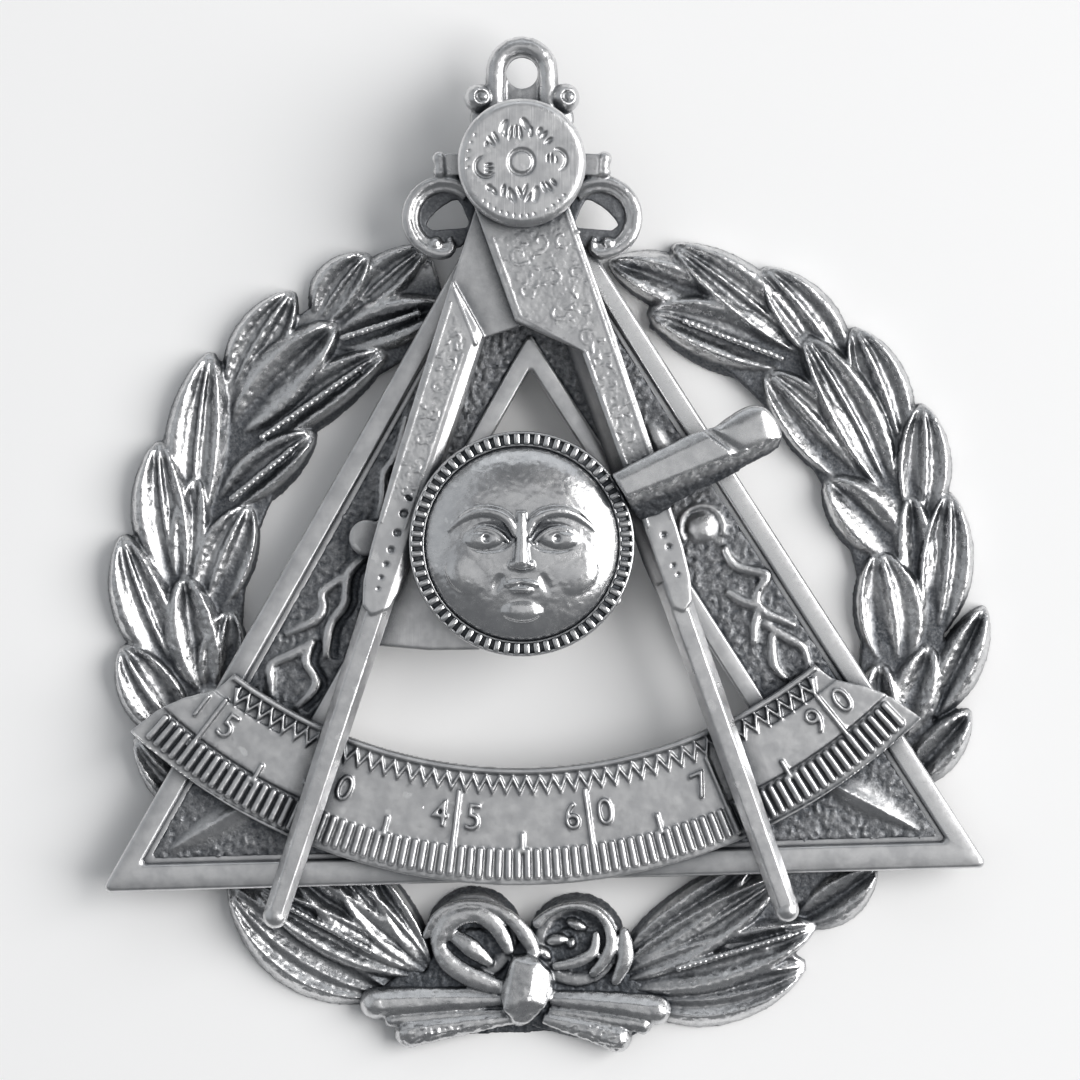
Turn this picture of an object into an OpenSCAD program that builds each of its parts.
// A collar jewel in silver, lying on its back: front up +Z, hanging eye toward +Y,
// origin in the middle of its outline at the level of its flat back. Millimetres.
// The pieces are stacked from the back: wreath, triangle, scale with crest and trowel
// plate, compasses, then the hinge cap, the trowel handle and the sun.

/* [Wreath] */
// Half width of the ring through the outer leaf tips
ring_a = 34.6; // [33.8:0.1:35.4]
// Half height of the ring through the outer leaf tips
ring_b = 31.8; // [31:0.1:32.6]
// Height of the ring's middle above the origin
ring_y = -7.3; // [-7.8:0.1:-6.8]
// Width of a full leaf
leaf_w = 3.6; // [3:0.1:4.2]
// Slope that runs out round each leaf at the back
leaf_skirt = 0.5; // [0.3:0.05:0.8]
// Height of the highest leaf ridges above the back
wreath_t = 2.4; // [2:0.1:2.8]
// Thickness of the plain backing that joins the leaves
backing_t = 1.1; // [0.8:0.1:1.4]

/* [Bow] */
// Distance of the bow's middle from the origin
bow_x = -1.6; // [-1.9:0.1:-1.3]
// Height of the knot's middle above the origin
knot_y = -35; // [-35.4:0.1:-34.6]
// Width of the knot
knot_w = 4.4; // [3.8:0.1:5]
// Length of the knot along the jewel
knot_l = 6.2; // [5.6:0.1:6.8]
// Width of a ribbon loop, outside
loop_w = 7.6; // [7:0.1:8]
// Thickness of the loop's rolled ribbon
loop_roll = 1.9; // [1.6:0.1:2.1]
// Reach of the ribbon tails to each side of the knot
tail_reach = 13.4; // [13:0.1:13.8]
// Radius of a tail where it leaves the knot
tail_root_r = 1.6; // [1.4:0.1:1.8]

/* [Triangle] */
// Length of the base line, corner to corner
tri_base = 70.3; // [69.8:0.1:70.6]
// Height from the base line to the point under the hinge cap
tri_height = 58.3; // [57.8:0.1:58.8]
// Distance of the base line's middle from the origin
tri_x = -0.25; // [-0.4:0.05:-0.1]
// Height of the base line's middle above the origin
tri_y = -26.2; // [-26.6:0.1:-25.8]
// Lean of the triangle, counterclockwise, in degrees
tri_lean = 1.6; // [1.2:0.05:1.9]
// Thickness at the raised borders
tri_t = 1.4; // [1.2:0.1:1.6]
// Thickness left in the sunk bands
tri_floor = 0.6; // [0.4:0.1:0.8]
// Width of the two side bands, borders included
side_band_w = 9.2; // [8.6:0.1:9.8]
// Width of the base band, borders included
base_band_w = 8.1; // [7.6:0.1:8.4]
// Width of the outer border
outer_border_w = 1.7; // [1.4:0.1:2]
// Width of the border along the base
base_border_w = 2.2; // [1.9:0.1:2.5]
// Width of the inner border
inner_border_w = 1.5; // [1.2:0.1:1.8]
// Radius of the blunted corners
tri_corner_r = 0.45; // [0.3:0.05:0.6]
// Width of a cast tendril in the side bands
tendril_w = 0.5; // [0.4:0.05:0.7]
// Length of one step of the tendrils' zigzag
tendril_step = 3; // [2.8:0.1:3.2]

/* [Graduated arc] */
// Radius of the scale's outer edge
arc_r = 44.5; // [44:0.1:45]
// Width of the scale in its middle
arc_w = 9.2; // [8.8:0.1:9.6]
// Height of the inner edge's centre above the outer edge's centre
arc_rise = 1.9; // [1.5:0.1:2.2]
// Height of the scale's centre above the origin
arc_y = 18; // [17.7:0.1:18.3]
// Angle that the scale spans, in degrees
arc_span = 88.6; // [86:0.2:90]
// Turn of the scale's two ends to the right, in degrees
arc_turn = 1; // [0.6:0.1:1.4]
// Turn of the numbered lines to the right, in degrees
line_turn = 0.45; // [0.3:0.05:0.6]
// Thickness at the raised ticks and rims
arc_t = 1.15; // [1:0.05:1.3]
// Height of the raised marks above the scale's plate
mark_h = 0.3; // [0.2:0.05:0.4]
// Width of the inner rim line
rim_w = 0.35; // [0.3:0.05:0.5]
// Width of the zigzag row
zigzag_w = 1.7; // [1.5:0.1:1.9]
// Length of the ticks
tick_l = 2.4; // [2.2:0.1:2.6]
// Width of one tick
tick_w = 0.4; // [0.3:0.05:0.5]
// Plain edge outside the ticks
arc_edge_w = 0.5; // [0.4:0.05:0.6]
// Angle between two numbered lines, in degrees
number_step = 15.2; // [15:0.1:15.4]

/* [Compasses] */
// Height of the hinge above the origin
hinge_y = 30.05; // [29.8:0.05:30.3]
// Lean of the left leg from the middle line, in degrees
left_lean = 18.2; // [17.8:0.1:18.6]
// Lean of the right leg from the middle line, in degrees
right_lean = 19.6; // [19.2:0.1:20]
// Length of a leg from the hinge to its point
leg_l = 63; // [62:0.1:64]
// Thickness of a leg
leg_t = 2; // [1.8:0.1:2.2]
// Reach of the bar from the hinge line toward the other leg
bar_in = 1.5; // [1.4:0.05:1.6]
// Reach of the bar from the hinge line to the outside
bar_out = 2.2; // [2:0.05:2.4]
// Distance from the hinge to the end of the flat bar
bar_l = 33; // [32:0.5:34]
// Width of the rounded lower leg at its top
point_w = 2.4; // [2.2:0.1:2.6]
// Width of the rounded lower leg before its tip
point_tip_w = 1.9; // [1.7:0.1:2]
// Reach of the head from the hinge line toward the other leg
head_in = 4.6; // [4.4:0.05:4.8]
// Distance from the hinge to the head's inner corner
head_l = 11.4; // [11.2:0.1:11.6]
// Distance from the hinge to where the head meets the bar
head_end = 13.8; // [13.6:0.1:14.2]
// Radius of the round head under the cap
head_r = 4.6; // [4.4:0.05:4.7]

/* [Hinge cap] */
// Radius of the cap
cap_r = 5; // [4.9:0.05:5.2]
// Height of the cap
cap_t = 1.8; // [1.5:0.1:2.1]
// Slope round the cap's face
cap_bevel = 0.4; // [0.3:0.05:0.5]
// Radius of the rivet through the two heads
rivet_r = 1.5; // [1.2:0.1:1.8]
// Clearance of the rivet in the heads
rivet_clearance = 0.05; // [0.03:0.01:0.1]
// Depth of the engraved rosette
engraving = 0.15; // [0.1:0.05:0.25]

/* [Crest] */
// Radius of the hole for the hanging ring
eye_hole_r = 1.25; // [1.1:0.05:1.4]
// Metal round the hole
eye_rim = 1.5; // [1.3:0.05:1.6]
// Thickness of the eye
eye_t = 1.8; // [1.5:0.1:2]
// Height of the eye's middle above the hinge
eye_rise = 7.45; // [7.3:0.05:7.6]
// Radius of the two balls beside the eye
ball_r = 1.15; // [1:0.05:1.2]
// Distance of a ball from the middle line
ball_reach = 3.4; // [3.3:0.05:3.5]
// Radius of a scroll through the middle of its wire
scroll_r = 2.65; // [2.5:0.05:2.75]
// Distance of a scroll's middle from the middle line
scroll_reach = 6.15; // [6.05:0.05:6.3]
// Distance of a scroll's middle below the hinge
scroll_drop = 3.95; // [3.85:0.05:4.05]
// Size of the square lugs
lug = 2; // [1.8:0.1:2.2]
// Distance of a lug's middle from the middle line
lug_reach = 6; // [5.9:0.05:6.1]

/* [Trowel] */
// Thickness of the plate
plate_t = 1; // [0.8:0.05:1.1]
// Direction of the handle above the horizontal, in degrees
handle_lean = 23.2; // [22:0.2:24]
// Place round the sun's rim where the handle starts, in degrees
handle_from = 28; // [27:0.2:29]
// Length of the handle from the sun's rim to its round end
handle_l = 13.3; // [13:0.1:13.8]
// Width of the handle's grip
grip_w = 4.3; // [4:0.1:4.6]
// Width of the handle's neck at its foot
neck_w = 4.1; // [3.8:0.1:4.4]
// Width of the smooth facet along the neck
facet_w = 1.9; // [1.6:0.1:2.2]
// Height of the handle above the compasses
handle_t = 2.2; // [1.8:0.1:2.6]
// Width of the tang that lies in the right leg's notch
tang_w = 2; // [1.6:0.1:2.2]
// Length of the hidden tang
tang_l = 12; // [11:0.5:12.5]
// How far the tang reaches back under the sun
tang_back = 6; // [5.5:0.1:6.2]
// Length of the foot that stands on the triangle
foot_l = 3; // [2.5:0.1:3.2]

/* [Sun] */
// Radius of the disc
sun_r = 8.8; // [8.6:0.05:9]
// Height of the disc's middle above the origin
sun_y = 0.4; // [0.2:0.1:0.6]
// Thickness of the disc's plate
sun_plate_t = 0.6; // [0.5:0.05:0.8]
// Height of the notched rim above the plate
sun_rim_h = 0.5; // [0.4:0.05:0.6]
// Width of the notched rim
sun_rim_w = 0.95; // [0.8:0.05:1.1]
// Height of the face's dome above the plate
dome_h = 1.9; // [1.6:0.1:2.2]
// Height of the lids and lips above the dome
feature_h = 0.2; // [0.15:0.05:0.3]
// Radius of the post between the disc and the trowel's plate
post_r = 2.5; // [2:0.1:3]

/* [Fit] */
// Gap left between pieces that lie on each other
gap = 0.05; // [0.03:0.01:0.08]
// Distance of the middle line from the origin
axis_x = -2.05; // [-2.3:0.05:-1.8]

/* [Hidden] */
fine = 96;
small = 0.02;

tri_z = wreath_t + gap;
arc_z = tri_z + tri_t + gap;
leg_z = arc_z + arc_t + gap;
top_z = leg_z + leg_t + gap;

ring_x = 0.25;
arc_x = axis_x - 0.3;
rim_r = arc_r - arc_w + arc_rise;
half_leg = (leg_t - gap) / 2;

// Leaves of each branch, one row each. The columns are the tip's angle round the ring,
// the tip's distance and the base's angle and distance as shares of the ring's half
// sizes, the width as a share of a full leaf, and the height as a share of the wreath's.
LEFT_LEAVES = [
    [73, 1.02, 60, 0.94, 0.85, 0.85],
    [66, 1.05, 56, 0.96, 0.95, 0.9],
    [55, 1.05, 40, 0.96, 0.95, 0.92],
    [41.5, 1.05, 18.5, 0.87, 1.15, 0.95],
    [28, 1.02, 9, 0.87, 1.15, 0.95],
    [14, 1.01, -5, 0.87, 1.15, 0.95],
    [-1.5, 0.98, -16, 0.88, 1.05, 0.92],
    [-15, 0.98, -31, 0.88, 0.95, 0.85],
    [73, 0.87, 56, 0.9, 0.8, 0.9],
    [57, 0.93, 36, 0.9, 0.95, 1],
    [26, 0.91, 9, 0.86, 0.7, 0.8],
    [10, 0.855, -10, 0.8, 0.9, 0.95],
    [61, 0.815, 35, 0.845, 0.75, 0.85],
    [42.5, 0.755, 23, 0.83, 0.75, 0.85],
    [25, 0.775, 5, 0.8, 0.85, 0.85],
    [5, 0.745, -11, 0.785, 0.7, 0.8],
    [-9, 0.8, -27, 0.8, 1, 0.8]
];
RIGHT_LEAVES = [
    [81, 0.955, 64, 0.93, 0.95, 0.9],
    [73, 1.02, 51, 0.935, 1.05, 0.92],
    [61.5, 1.045, 45, 0.96, 1, 0.92],
    [47.5, 1.04, 31, 0.94, 1, 0.95],
    [34, 1.03, 19, 0.9, 0.95, 0.92],
    [21, 0.98, 1.5, 0.89, 0.95, 0.95],
    [4, 0.995, -12, 0.9, 0.8, 0.92],
    [-11, 0.975, -24, 0.89, 0.8, 0.85],
    [51.5, 0.95, 26, 0.865, 1.1, 1],
    [23, 0.9, 6, 0.85, 0.7, 0.8],
    [-1.5, 0.87, -18, 0.83, 0.8, 0.8],
    [73.5, 0.855, 51, 0.89, 1, 0.85],
    [52.5, 0.83, 29, 0.82, 0.9, 0.85],
    [31.5, 0.755, 14, 0.84, 0.95, 0.85],
    [15.5, 0.785, -5, 0.8, 1, 0.85],
    [-5, 0.76, -22, 0.8, 0.8, 0.8]
];
// Broad leaves that fan out from behind the bow, with the same columns
LEFT_FAN = [
    [-41, 0.955, -66.5, 0.955, 1.6, 0.8],
    [-43.5, 0.915, -69.5, 0.885, 0.95, 0.95],
    [-46, 0.83, -70.5, 0.875, 0.95, 0.9],
    [-49.5, 0.755, -71, 0.87, 0.8, 0.9],
    [-54, 0.705, -71, 0.865, 0.65, 0.85]
];
RIGHT_FAN = [
    [-38, 0.94, -51, 0.91, 0.85, 0.8],
    [-55.5, 0.995, -79, 0.89, 1.45, 0.8],
    [-51, 0.93, -79, 0.87, 1.15, 0.9],
    [-50, 0.79, -79.5, 0.855, 1, 0.95],
    [-52, 0.725, -79, 0.83, 0.85, 0.85]
];

// Ribbon loops: middle across and along from the knot and size, as shares of a loop
LOOPS = [[-0.6, 0.52, 0.97], [0.465, 0.45, 0.93]];
// Ribbon tails, two rolls to each side: end across and along from the knot and its
// radius, as shares of the tails' reach
LEFT_TAIL = [[-0.93, -0.075, 0.08], [-0.69, -0.27, 0.095]];
RIGHT_TAIL = [[0.77, -0.125, 0.085], [0.53, -0.3, 0.095]];
// Flat ground of the bow: places across and along from the knot, as shares of the
// tails' reach
BOW_GROUND = [[-0.98, -0.04], [-0.7, 0.36], [-0.4, 0.52], [0.02, 0.44], [0.3, 0.46], [0.66, 0.34],
    [0.84, 0], [0.8, -0.12], [0.55, -0.34], [0, -0.22], [-0.7, -0.32], [-0.95, -0.12]];

// Plain ground under the leaves, one row for each angle round the ring. The columns are
// the angle, then the outer and inner edges as shares, left and right
RING_EDGE = [
    [-66, 0.9, 0.84, 0.9, 0.84],
    [-56, 0.92, 0.79, 0.94, 0.72],
    [-45, 0.94, 0.74, 0.94, 0.735],
    [-20, 0.955, 0.71, 0.95, 0.71],
    [0, 0.98, 0.71, 0.955, 0.715],
    [15, 0.985, 0.72, 0.985, 0.725],
    [30, 1, 0.735, 1.015, 0.735],
    [45, 1.045, 0.765, 1.04, 0.755],
    [60, 1.055, 0.775, 1.035, 0.79],
    [74, 1.045, 0.79, 1, 0.815]
];

// Leaf outline: place along the leaf and half width, both as shares
LEAF_SHAPE = [[0, 0], [0.12, 0.42], [0.38, 0.94], [0.62, 0.96], [0.86, 0.55], [1, 0]];

// Two small leaves in each side band: place along the side as a share of the base line,
// then place across, length and width as shares of the band's width
BAND_LEAVES = [[0.505, 0.46, 0.4, 0.3], [0.61, 0.4, 0.38, 0.18]];

// Ends of the scale: place across the band from its outer edge as a share of its
// width, and how far the end is drawn in there, in degrees
ARC_END = [[-0.1, -0.2], [0.05, 0], [0.3, 0.5], [0.55, 1.8], [0.75, 3.6], [0.82, 4.2], [1.2, 4.8]];

function turned(p, a) = [p[0] * cos(a) - p[1] * sin(a), p[0] * sin(a) + p[1] * cos(a)];
function polar(r, a) = [r * cos(a), r * sin(a)];
function reversed(list) = [for (i = [len(list) - 1 : -1 : 0]) list[i]];
function ring_point(side, angle, share) =
    [ring_x + side * ring_a * share * cos(angle), ring_y + ring_b * share * sin(angle)];

// Convex solid round a list of points
module wrap(points) {
    hull()
        polyhedron(points, [[for (i = [0:len(points) - 1]) i]]);
}

// One half of a leaf, from its base at the origin along +X, on the +Y or -Y side:
// a ridge along the middle of the half and a groove along the leaf's own middle
module leaf_half(length, width, height, side) {
    edge = [for (row = LEAF_SHAPE) [row[0] * length, side * row[1] * width / 2]];
    skirt = [for (row = LEAF_SHAPE)
        [row[0] * (length + leaf_skirt), side * (row[1] * width / 2 + leaf_skirt * row[1])]];
    wrap(concat(
        [for (p = skirt) [p[0], p[1], 0]],
        [for (p = edge) [p[0], p[1], backing_t * 0.8]],
        [for (i = [1:4]) [edge[i][0], edge[i][1] * 0.5, height * (0.78 + 0.22 * sin(180 * i / 5))]],
        [[0, 0, backing_t * 0.9], [length, 0, height * 0.7], [length * 0.5, 0, height * 0.7]]
    ));
}

module leaf(base, tip, width, height) {
    along = tip - base;
    translate([base[0], base[1], 0])
        rotate(atan2(along[1], along[0]))
            for (side = [-1, 1])
                leaf_half(norm(along), width, height, side);
}

module leaves(side, rows) {
    for (row = rows)
        leaf(ring_point(side, row[2], row[3]), ring_point(side, row[0], row[1]),
            leaf_w * row[4], wreath_t * row[5]);
}

function edge_share(angle, column) = lookup(angle, [for (row = RING_EDGE) [row[0], row[column]]]);

module backing(side) {
    column = side < 0 ? 1 : 3;
    angles = [for (i = [0:28]) -66 + i * 5];
    outer = [for (a = angles) ring_point(side, a, edge_share(a, column))];
    inner = [for (a = angles) ring_point(side, a, edge_share(a, column + 1))];
    linear_extrude(backing_t)
        polygon(concat(outer, reversed(inner)));
}

// A ribbon loop: a rolled ring with a fold lying across its hollow
module bow_loop(side, row) {
    outer = loop_w / 2 * row[2];
    ring_r = outer - loop_roll / 2;
    translate([bow_x + row[0] * loop_w, knot_y + row[1] * loop_w, 0]) {
        intersection() {
            translate([0, 0, wreath_t - loop_roll / 2])
                rotate_extrude($fn = 32)
                    translate([ring_r, 0])
                        circle(loop_roll / 2, $fn = 8);
            cylinder(wreath_t, r = loop_w);
        }
        cylinder(wreath_t * 0.6, r1 = outer + leaf_skirt, r2 = outer - 0.2, $fn = 32);
        hull() {
            translate([-side * ring_r * 0.1, ring_r * 0.35, wreath_t * 0.6])
                sphere(0.9, $fn = 10);
            translate([side * ring_r * 0.35, -ring_r * 0.35, wreath_t * 0.6])
                sphere(0.7, $fn = 10);
        }
    }
}

// A spread ribbon tail: two rolls that open out from the knot, with a web between
module bow_tail(rows) {
    for (row = rows)
        hull() {
            translate([bow_x, knot_y - knot_l * 0.12, 0])
                cylinder(wreath_t * 0.85, r1 = tail_root_r, r2 = tail_root_r * 0.3, $fn = 12);
            translate([bow_x + row[0] * tail_reach, knot_y + row[1] * tail_reach, 0])
                cylinder(wreath_t * 0.8, r1 = row[2] * tail_reach, r2 = row[2] * tail_reach * 0.5,
                    $fn = 14);
        }
    hull() {
        translate([bow_x, knot_y - knot_l * 0.12, 0])
            cylinder(wreath_t * 0.5, r = tail_root_r, $fn = 12);
        for (row = rows)
            translate([bow_x + row[0] * tail_reach, knot_y + row[1] * tail_reach, 0])
                cylinder(wreath_t * 0.5, r = row[2] * tail_reach * 0.9, $fn = 14);
    }
}

module knot() {
    translate([bow_x, knot_y, 0])
        intersection() {
            scale([knot_w / 2, knot_l / 2, wreath_t])
                sphere(1, $fn = 18);
            cylinder(wreath_t, r = knot_l);
        }
    translate([bow_x, knot_y, 0])
        linear_extrude(backing_t)
            polygon(BOW_GROUND * tail_reach);
}

module wreath() {
    color("silver")
        union() {
            backing(-1);
            backing(1);
            leaves(-1, LEFT_LEAVES);
            leaves(1, RIGHT_LEAVES);
            leaves(-1, LEFT_FAN);
            leaves(1, RIGHT_FAN);
            bow_loop(-1, LOOPS[0]);
            bow_loop(1, LOOPS[1]);
            bow_tail(LEFT_TAIL);
            bow_tail(RIGHT_TAIL);
            knot();
        }
}

// The triangle's own frame: the origin in the middle of its base line
function tri_slope() = atan(2 * tri_height / tri_base);
function inset_corners(side, base) =
    let (slope = tri_slope(), x = tri_base / 2 - side / sin(slope) - base / tan(slope))
    [[-x, base], [x, base], [0, tri_height - side / cos(slope)]];
function inset_outline(side, base, r) =
    let (slope = tri_slope(), c = inset_corners(side + r, base + r), n = 5,
        starts = [90 + slope, 270, 90 - slope], turns = [180 - slope, 180 - slope, 2 * slope])
    [for (k = [0:2], i = [0:n]) c[k] + polar(r, starts[k] + turns[k] * i / n)];

// A zigzag ribbon along the middle of the right side band, from its lower corner
module tendril(start, steps, first) {
    slope = tri_slope();
    middle = (outer_border_w + side_band_w - inner_border_w) / 2;
    reach = (side_band_w - outer_border_w - inner_border_w) / 2 - tendril_w;
    line = [for (i = [0:steps])
        [start + i * tendril_step, middle + first * reach * (i % 2 == 0 ? 0.85 : 0.1)]];
    strip = concat([for (p = line) p + [0, tendril_w * 0.7]],
        [for (i = [steps:-1:0]) line[i] - [0, tendril_w * 0.7]]);
    translate([tri_base / 2, 0])
        rotate(180 - slope)
            polygon(strip);
}

// A pointed leaf between two arcs, its middle at the origin, lying along +X
module lens(length, width) {
    r = (length * length / 4 + width * width / 4) / width;
    intersection() {
        translate([0, width / 2 - r])
            circle(r, $fn = fine);
        translate([0, r - width / 2])
            circle(r, $fn = fine);
    }
}

module corner_leaf(side) {
    slope = tri_slope();
    length = base_band_w * 1.15;
    from_corner = base_band_w * 0.72;
    translate([side * tri_base / 2, 0, tri_floor - small])
        rotate(side > 0 ? 180 - slope / 2 : slope / 2)
            wrap(concat(
                [for (p = [[0, 0], [0.35, 0.5], [1, 0.25], [1, -0.25], [0.35, -0.5]])
                    [from_corner + p[0] * length, p[1] * length * 0.36, 0]],
                [[from_corner + length * 0.3, 0, tri_t - tri_floor],
                    [from_corner + length * 0.9, 0, tri_t - tri_floor]]
            ));
}

module triangle_relief() {
    rise = tri_t - tri_floor - 0.1;
    translate([0, 0, tri_floor - small])
        linear_extrude(rise + small)
            for (side = [0, 1])
                mirror([side, 0, 0]) {
                    tendril(tri_base * 0.22, 6, 1);
                    tendril(tri_base * 0.22, 6, -1);
                    translate([tri_base / 2, 0])
                        rotate(180 - tri_slope())
                            for (row = BAND_LEAVES)
                                translate([tri_base * row[0], side_band_w * row[1]])
                                    lens(side_band_w * row[2], side_band_w * row[3]);
                }
    for (side = [-1, 1])
        corner_leaf(side);
}

module triangle_frame() {
    color("darkgray")
        translate([tri_x, tri_y, tri_z])
            rotate(tri_lean) {
                difference() {
                    linear_extrude(tri_t)
                        polygon(inset_outline(0, 0, tri_corner_r));
                    translate([0, 0, tri_floor])
                        linear_extrude(tri_t)
                            difference() {
                                polygon(inset_corners(outer_border_w, base_border_w));
                                polygon(inset_corners(side_band_w - inner_border_w,
                                    base_band_w - inner_border_w));
                            }
                    translate([0, 0, -tri_t])
                        linear_extrude(tri_t * 3)
                            polygon(inset_corners(side_band_w, base_band_w));
                }
                triangle_relief();
            }
}

// The scale, drawn about its outer edge's centre with its middle straight down
function end_points(side) = [for (row = ARC_END)
    polar(arc_r - row[0] * arc_w, 270 + arc_turn + side * (arc_span / 2 - row[1]))];

module scale_sector() {
    far = [for (k = [-4:4]) polar(arc_r * 1.1, 270 + k * arc_span / 8)];
    polygon(concat(reversed(end_points(-1)), far, end_points(1),
        [polar(arc_r * 0.5, 280), polar(arc_r * 0.5, 260)]));
}

// The band that lies out_in inside the outer edge and in_out outside the inner edge
module scale_band(out_in, in_out) {
    intersection() {
        difference() {
            circle(arc_r - out_in, $fn = fine);
            translate([0, arc_rise])
                circle(rim_r + in_out, $fn = fine);
        }
        scale_sector();
    }
}

// Ticks a degree apart, as one comb
module tick_comb() {
    outer_r = arc_r - arc_edge_w;
    inner_r = outer_r - tick_l;
    step = number_step / 15;
    half = floor((arc_span / 2 - 1.2) / step);
    tooth = tick_w / outer_r * 180 / PI / 2;
    teeth = [for (i = [-half:half]) let (a = 270 + arc_turn + i * step) each
        [polar(inner_r, a - tooth), polar(outer_r, a - tooth),
            polar(outer_r, a + tooth), polar(inner_r, a + tooth)]];
    root = [for (i = [half:-1:-half]) polar(inner_r - 0.12, 270 + arc_turn + i * step)];
    polygon(concat(teeth, root));
}

module zigzag_strip() {
    inner_r = rim_r + rim_w + 0.25;
    outer_r = inner_r + zigzag_w - 0.5;
    steps = 88;
    reach = arc_span / 2 - 7.9;
    line = [for (i = [0:steps])
        [i % 2 == 0 ? inner_r : outer_r, 270 + arc_turn - reach + 2 * reach * i / steps]];
    translate([0, arc_rise])
        polygon(concat([for (p = line) polar(p[0] + 0.2, p[1])],
            [for (i = [steps:-1:0]) polar(line[i][0] - 0.2, line[i][1])]));
}

module graduated_arc() {
    plate = arc_t - mark_h;
    line_top = arc_r - arc_edge_w - tick_l + 0.15;
    line_l = arc_w - arc_edge_w - tick_l - rim_w - zigzag_w;
    color("gainsboro")
        translate([arc_x, arc_y, arc_z]) {
            linear_extrude(plate)
                scale_band(0, 0);
            translate([0, 0, plate - small])
                linear_extrude(mark_h * 0.6 + small)
                    scale_band(arc_edge_w + tick_l + 0.25, rim_w + zigzag_w);
            translate([0, 0, plate - small])
                linear_extrude(mark_h + small) {
                    intersection() {
                        difference() {
                            translate([0, arc_rise])
                                circle(rim_r + rim_w, $fn = fine);
                            translate([0, arc_rise])
                                circle(rim_r + 0.05, $fn = fine);
                        }
                        scale_sector();
                    }
                    tick_comb();
                    zigzag_strip();
                    for (i = [-2.5:2.5])
                        rotate(i * number_step + line_turn)
                            translate([-tick_w / 4, -line_top])
                                square([tick_w / 2, line_l]);
                }
        }
}

// Frame of one leg: the hinge at the origin, the leg running down -Y, its inner side at -X
module leg_place(side, lean) {
    translate([axis_x, hinge_y, leg_z])
        rotate(side * lean)
            mirror([side < 0 ? 1 : 0, 0, 0])
                children();
}

module head_outline(grow) {
    circle(head_r + grow, $fn = fine);
    polygon([[-head_in - grow, 0], [-head_in - grow, -head_l - grow], [-bar_in, -head_end - grow * 2],
        [bar_out + 0.2 + grow, -head_end - grow * 2], [bar_out + 0.2 + grow, 0]]);
}

module bar_outline() {
    shoulder = bar_l + 5;
    polygon([[-bar_in, -head_end + 5], [-bar_in, -bar_l], [-point_w / 2, -shoulder],
        [point_w / 2, -shoulder], [bar_out - 0.4, -bar_l], [bar_out, -bar_l * 0.75],
        [bar_out + 0.2, -head_end + 5]]);
}

// The lower leg: flat behind, ridged in front, drawn to a rounded tip
module leg_point() {
    top = bar_l + 4;
    tip_r = point_tip_w / 2;
    hull() {
        translate([-point_w / 2, -top, 0])
            cube([point_w, small, leg_t * 0.55]);
        translate([-point_w / 4, -top, 0])
            cube([point_w / 2, small, leg_t * 0.95]);
        translate([0, tip_r - leg_l, 0])
            cylinder(leg_t * 0.45, r = tip_r, $fn = 24);
        translate([0, tip_r * 1.6 - leg_l, 0])
            cylinder(leg_t * 0.8, r = tip_r * 0.4, $fn = 16);
    }
}

module rivet_hole() {
    translate([0, 0, -leg_t])
        cylinder(leg_t * 3, r = rivet_r + rivet_clearance, $fn = fine);
}

// The right leg carries the upper half of the joint
module compass_leg_right() {
    color("lightgray")
        difference() {
            leg_place(1, right_lean)
                difference() {
                    union() {
                        linear_extrude(leg_t)
                            bar_outline();
                        translate([0, 0, half_leg + gap])
                            linear_extrude(half_leg)
                                head_outline(0);
                        leg_point();
                    }
                    rivet_hole();
                }
            leg_place(-1, left_lean)
                translate([0, 0, -leg_t])
                    linear_extrude(leg_t + half_leg + gap)
                        head_outline(gap);
            tang_slot();
        }
}

// The left leg carries the lower half; its face steps down along a slanted line
module compass_leg_left() {
    color("lightgray")
        difference() {
            leg_place(-1, left_lean)
                difference() {
                    union() {
                        linear_extrude(leg_t)
                            bar_outline();
                        linear_extrude(half_leg)
                            head_outline(0);
                        leg_point();
                    }
                    rivet_hole();
                    translate([0, 0, half_leg])
                        linear_extrude(leg_t)
                            polygon([[-head_in * 2, 0], [-head_in, -head_end - head_in + bar_in],
                                [-bar_in, -head_end], [bar_out * 2, -head_end + bar_out * 2 + bar_in],
                                [bar_out * 2, 0]]);
                }
            leg_place(1, right_lean)
                translate([0, 0, half_leg])
                    linear_extrude(leg_t)
                        head_outline(gap);
        }
}

// The rosette: a small ring, four petals and the short rays between them
module rosette() {
    difference() {
        circle(cap_r * 0.24, $fn = fine);
        circle(cap_r * 0.18, $fn = fine);
    }
    for (k = [0:3])
        rotate(k * 90) {
            for (bend = [-16, 0, 16])
                rotate(bend)
                    translate([cap_r * 0.56, 0])
                        lens(cap_r * 0.28, cap_r * 0.09);
            for (ray = [32, 45, 58])
                rotate(ray)
                    translate([cap_r * 0.5, -0.06])
                        square([cap_r * 0.2, 0.12]);
        }
}

module hinge_cap() {
    color("silver")
        translate([axis_x, hinge_y, 0])
            difference() {
                union() {
                    translate([0, 0, top_z])
                        cylinder(cap_t - cap_bevel, r = cap_r, $fn = fine);
                    translate([0, 0, top_z + cap_t - cap_bevel])
                        cylinder(cap_bevel, r1 = cap_r, r2 = cap_r - cap_bevel, $fn = fine);
                    translate([0, 0, leg_z])
                        cylinder(top_z - leg_z + small, r = rivet_r, $fn = fine);
                }
                translate([0, 0, top_z + cap_t - engraving])
                    linear_extrude(engraving * 2)
                        rosette();
            }
}

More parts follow.
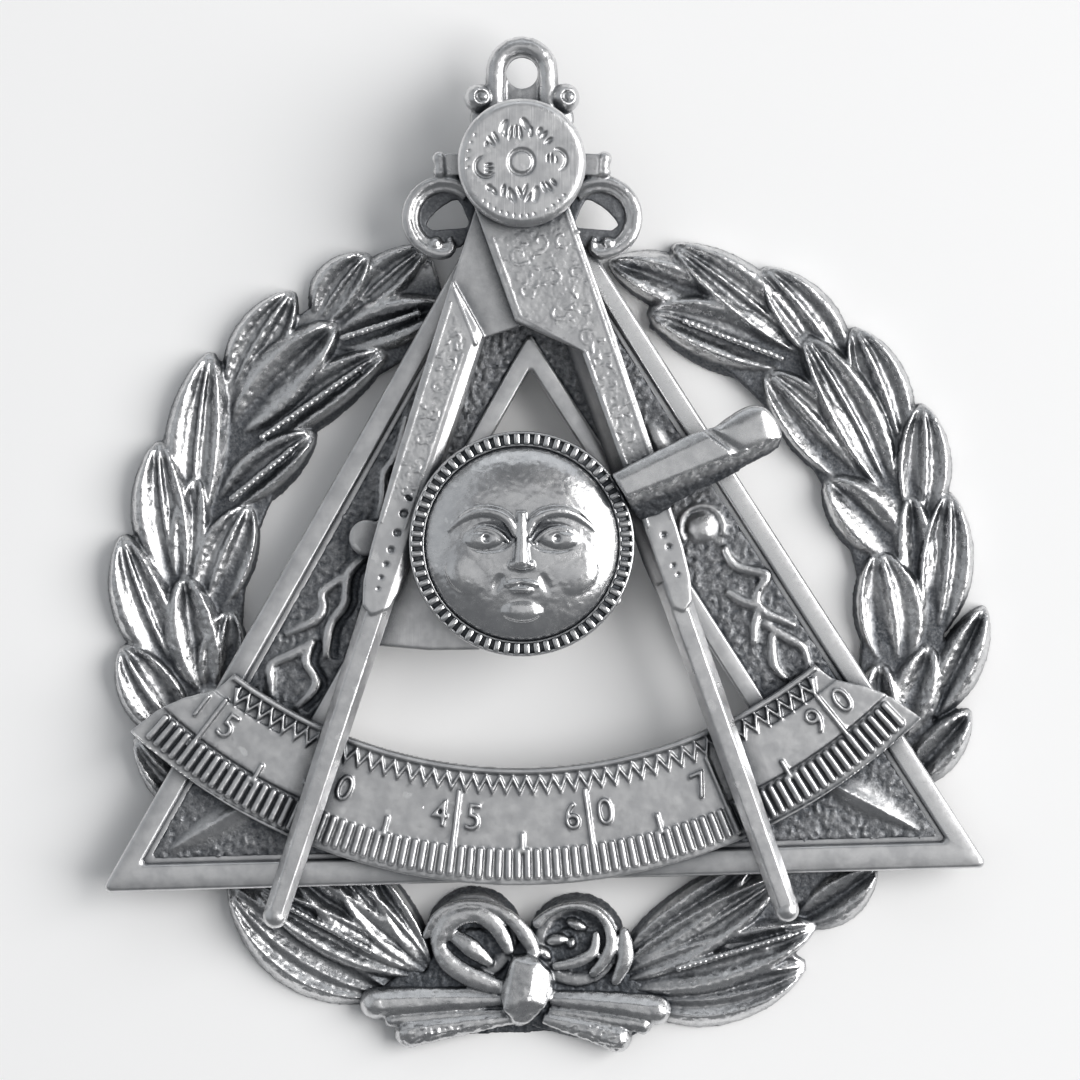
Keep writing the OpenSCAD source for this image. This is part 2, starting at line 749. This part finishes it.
// One scroll: a wire ring open toward the middle, its end turned up beside a small
// boss, with a thin web behind that leaves a window
module crest_scroll() {
    wire = arc_t / 2;
    curl_r = wire;
    translate([-scroll_reach, -scroll_drop, 0]) {
        translate([0, 0, wire]) {
            rotate(50)
                rotate_extrude(angle = 228, $fn = fine)
                    translate([scroll_r, 0])
                        circle(wire, $fn = 24);
            rotate(278)
                translate([scroll_r - curl_r, 0])
                    rotate_extrude(angle = 110, $fn = fine)
                        translate([curl_r, 0])
                            circle(wire, $fn = 24);
        }
        translate([-scroll_r * 0.22, -scroll_r * 0.66, 0])
            cylinder(arc_t, r1 = wire * 1.5, r2 = wire * 1.1, $fn = fine);
        linear_extrude(arc_t * 0.45)
            difference() {
                circle(scroll_r, $fn = fine);
                difference() {
                    translate([scroll_r * 0.45, scroll_r * 0.1])
                        circle(scroll_r * 0.85, $fn = fine);
                    translate([-scroll_r, -scroll_r * 1.45])
                        square([scroll_r * 3, scroll_r]);
                }
            }
    }
}

module crest() {
    eye_r = eye_hole_r + eye_rim;
    ball_y = eye_rise - 2.05;
    foot_y = head_r + gap + 0.1;
    color("silver")
        translate([axis_x, hinge_y, arc_z]) {
            difference() {
                union() {
                    cylinder(arc_t, r = head_r - 0.3, $fn = fine);
                    translate([-lug_reach, -lug / 2 + 0.2, 0])
                        cube([2 * lug_reach, lug, arc_t]);
                    translate([-eye_r, 0, 0])
                        cube([2 * eye_r, foot_y, arc_t]);
                    translate([-eye_r, foot_y, 0])
                        cube([2 * eye_r, eye_rise - foot_y, eye_t]);
                    translate([0, eye_rise, 0])
                        cylinder(eye_t, r = eye_r, $fn = fine);
                    for (side = [-1, 1]) {
                        translate([side * ball_reach, ball_y, ball_r])
                            sphere(ball_r, $fn = 32);
                        translate([side * lug_reach - lug / 2, -lug / 2 + 0.2, 0])
                            cube([lug, lug + 0.1, arc_t * 1.15]);
                    }
                }
                translate([0, eye_rise, -eye_t])
                    cylinder(eye_t * 3, r = eye_hole_r, $fn = fine);
                translate([0, eye_rise, eye_t - 0.4])
                    cylinder(0.8, r1 = eye_hole_r, r2 = eye_hole_r + 0.8, $fn = fine);
            }
            for (side = [0, 1])
                mirror([side, 0, 0])
                    crest_scroll();
        }
}

// Frame of the trowel's handle: the origin on the sun's rim, the handle along +X
module handle_place(z) {
    reach = sun_r + gap * 2;
    translate([axis_x, sun_y, z])
        translate([reach * cos(handle_from), reach * sin(handle_from), 0])
            rotate(handle_lean)
                children();
}

module tang_slot() {
    handle_place(top_z - leg_t * 0.5 - gap * 2)
        translate([-tang_back, -tang_w / 2 - gap, 0])
            cube([tang_l + tang_w, tang_w + 2 * gap, leg_t]);
}

// The plate: corners across and along from the sun's middle and their radius, as
// shares of the sun's radius
PLATE = [[-1.22, 0.14, 0.1], [-1.32, -0.86, 0.05], [-0.83, -0.915, 0.04], [-0.4, -0.9, 0.05],
    [0.835, -0.5, 0.06], [0.6, 0.55, 0.06]];

module trowel() {
    seat_z = tri_z + tri_t + gap;
    sun_space = sun_r + gap * 2;
    color("lightgray") {
        translate([axis_x, sun_y, seat_z])
            linear_extrude(plate_t) {
                hull()
                    for (row = PLATE)
                        translate([row[0], row[1]] * sun_r)
                            circle(row[2] * sun_r, $fn = 32);
                // The round lobe at the plate's left
                hull()
                    for (x = [-1.386, -1.1])
                        translate([x * sun_r, 0.052 * sun_r])
                            circle(0.163 * sun_r, $fn = 48);
            }
        difference() {
            union() {
                // The tang, from the plate up through the right leg's notch
                handle_place(seat_z + plate_t - small)
                    translate([-tang_back, -tang_w / 2, 0])
                        cube([tang_w * 1.1, tang_w, top_z - seat_z - plate_t + small * 2]);
                handle_place(top_z - leg_t * 0.5)
                    translate([-tang_back, -tang_w / 2, 0])
                        cube([tang_l, tang_w, leg_t * 0.5 + small]);
                // The handle: a neck with one smooth facet and one long slope, then
                // the grip
                handle_place(top_z)
                    hull() {
                        translate([-1.5, -neck_w * 0.72, 0])
                            cube([3.2, neck_w * 1.08, 0.4]);
                        translate([-1.5, -neck_w * 0.57, 0])
                            cube([handle_l * 0.76, neck_w, 0.4]);
                        translate([-1.5, neck_w * 0.36 - facet_w, 0])
                            cube([handle_l * 0.76, facet_w, handle_t]);
                    }
                handle_place(top_z)
                    hull() {
                        translate([handle_l - grip_w / 2, 0.1, 0])
                            cylinder(handle_t * 0.4, r = grip_w / 2, $fn = 32);
                        translate([handle_l - grip_w / 2, 0.5, 0])
                            cylinder(handle_t, r = grip_w * 0.3, $fn = 32);
                        translate([handle_l * 0.6, -neck_w / 2, 0])
                            cube([0.5, neck_w * 0.9, handle_t * 0.3]);
                        translate([handle_l * 0.6, neck_w * 0.3 - facet_w, 0])
                            cube([0.5, facet_w, handle_t * 0.95]);
                    }
                // The foot that stands on the triangle's side band
                handle_place(seat_z)
                    translate([tang_back - foot_l / 2, -tang_w / 2, 0])
                        cube([foot_l, tang_w, top_z - seat_z + small]);
            }
            translate([axis_x, sun_y, top_z - gap])
                cylinder(handle_t * 3, r = sun_space, $fn = fine);
        }
    }
}

// The face is a plain one in the manner of old sun badges: large almond eyes under
// brows that run together into the nose, and a small closed mouth
module brows_and_nose(r) {
    for (side = [0, 1])
        mirror([side, 0])
            intersection() {
                difference() {
                    translate([r * 0.36, -r * 0.24])
                        circle(r * 0.62, $fn = fine);
                    translate([r * 0.38, -r * 0.36])
                        circle(r * 0.64, $fn = fine);
                }
                square([r * 0.86, r]);
            }
    polygon([[-0.09, 0.34], [0.09, 0.34], [0.09, -0.02], [0.17, -0.2], [0.07, -0.25], [-0.07, -0.25],
        [-0.17, -0.2], [-0.09, -0.02]] * r);
}

module lids_and_lips(r) {
    for (side = [-1, 1])
        translate([side * r * 0.42, r * 0.04]) {
            difference() {
                lens(r * 0.58, r * 0.3);
                lens(r * 0.46, r * 0.2);
            }
            circle(r * 0.085, $fn = fine);
        }
    translate([0, -r * 0.43])
        difference() {
            lens(r * 0.46, r * 0.19);
            translate([-r, -r * 0.015])
                square([r * 2, r * 0.03]);
        }
}

module sun_rim() {
    outer_r = sun_r - 0.15;
    inner_r = sun_r - sun_rim_w;
    notches = 66;
    step = 360 / notches;
    outline = [for (i = [0:notches - 1]) each
        [polar(outer_r, (i - 0.28) * step), polar(outer_r, (i + 0.28) * step),
            polar(inner_r, (i + 0.36) * step), polar(inner_r, (i + 0.64) * step)]];
    difference() {
        polygon(outline);
        circle(inner_r - 0.15, $fn = fine);
    }
}

// The dome over the face's circle, raised by lift and cut to the children's outline
module dome_part(lift) {
    face_r = sun_r - sun_rim_w - 0.15;
    ball = (face_r * face_r + dome_h * dome_h) / (2 * dome_h);
    intersection() {
        translate([0, 0, dome_h + lift - ball])
            sphere(ball, $fn = 120);
        linear_extrude(dome_h * 2)
            children();
    }
}

module sun_disc() {
    face_r = sun_r - sun_rim_w - 0.15;
    plate_top = tri_z + tri_t + gap + plate_t;
    color("silver")
        translate([axis_x, sun_y, top_z]) {
            cylinder(sun_plate_t, r = sun_r, $fn = fine);
            translate([0, 0, plate_top + gap - top_z])
                cylinder(top_z - plate_top, r = post_r, $fn = fine);
            translate([0, 0, sun_plate_t - small])
                linear_extrude(sun_rim_h + small)
                    sun_rim();
            translate([0, 0, sun_plate_t - small]) {
                dome_part(0)
                    circle(face_r, $fn = fine);
                dome_part(feature_h)
                    lids_and_lips(face_r);
                dome_part(feature_h * 2)
                    brows_and_nose(face_r);
            }
        }
}

wreath();
triangle_frame();
graduated_arc();
crest();
trowel();
compass_leg_left();
compass_leg_right();
hinge_cap();
sun_disc();
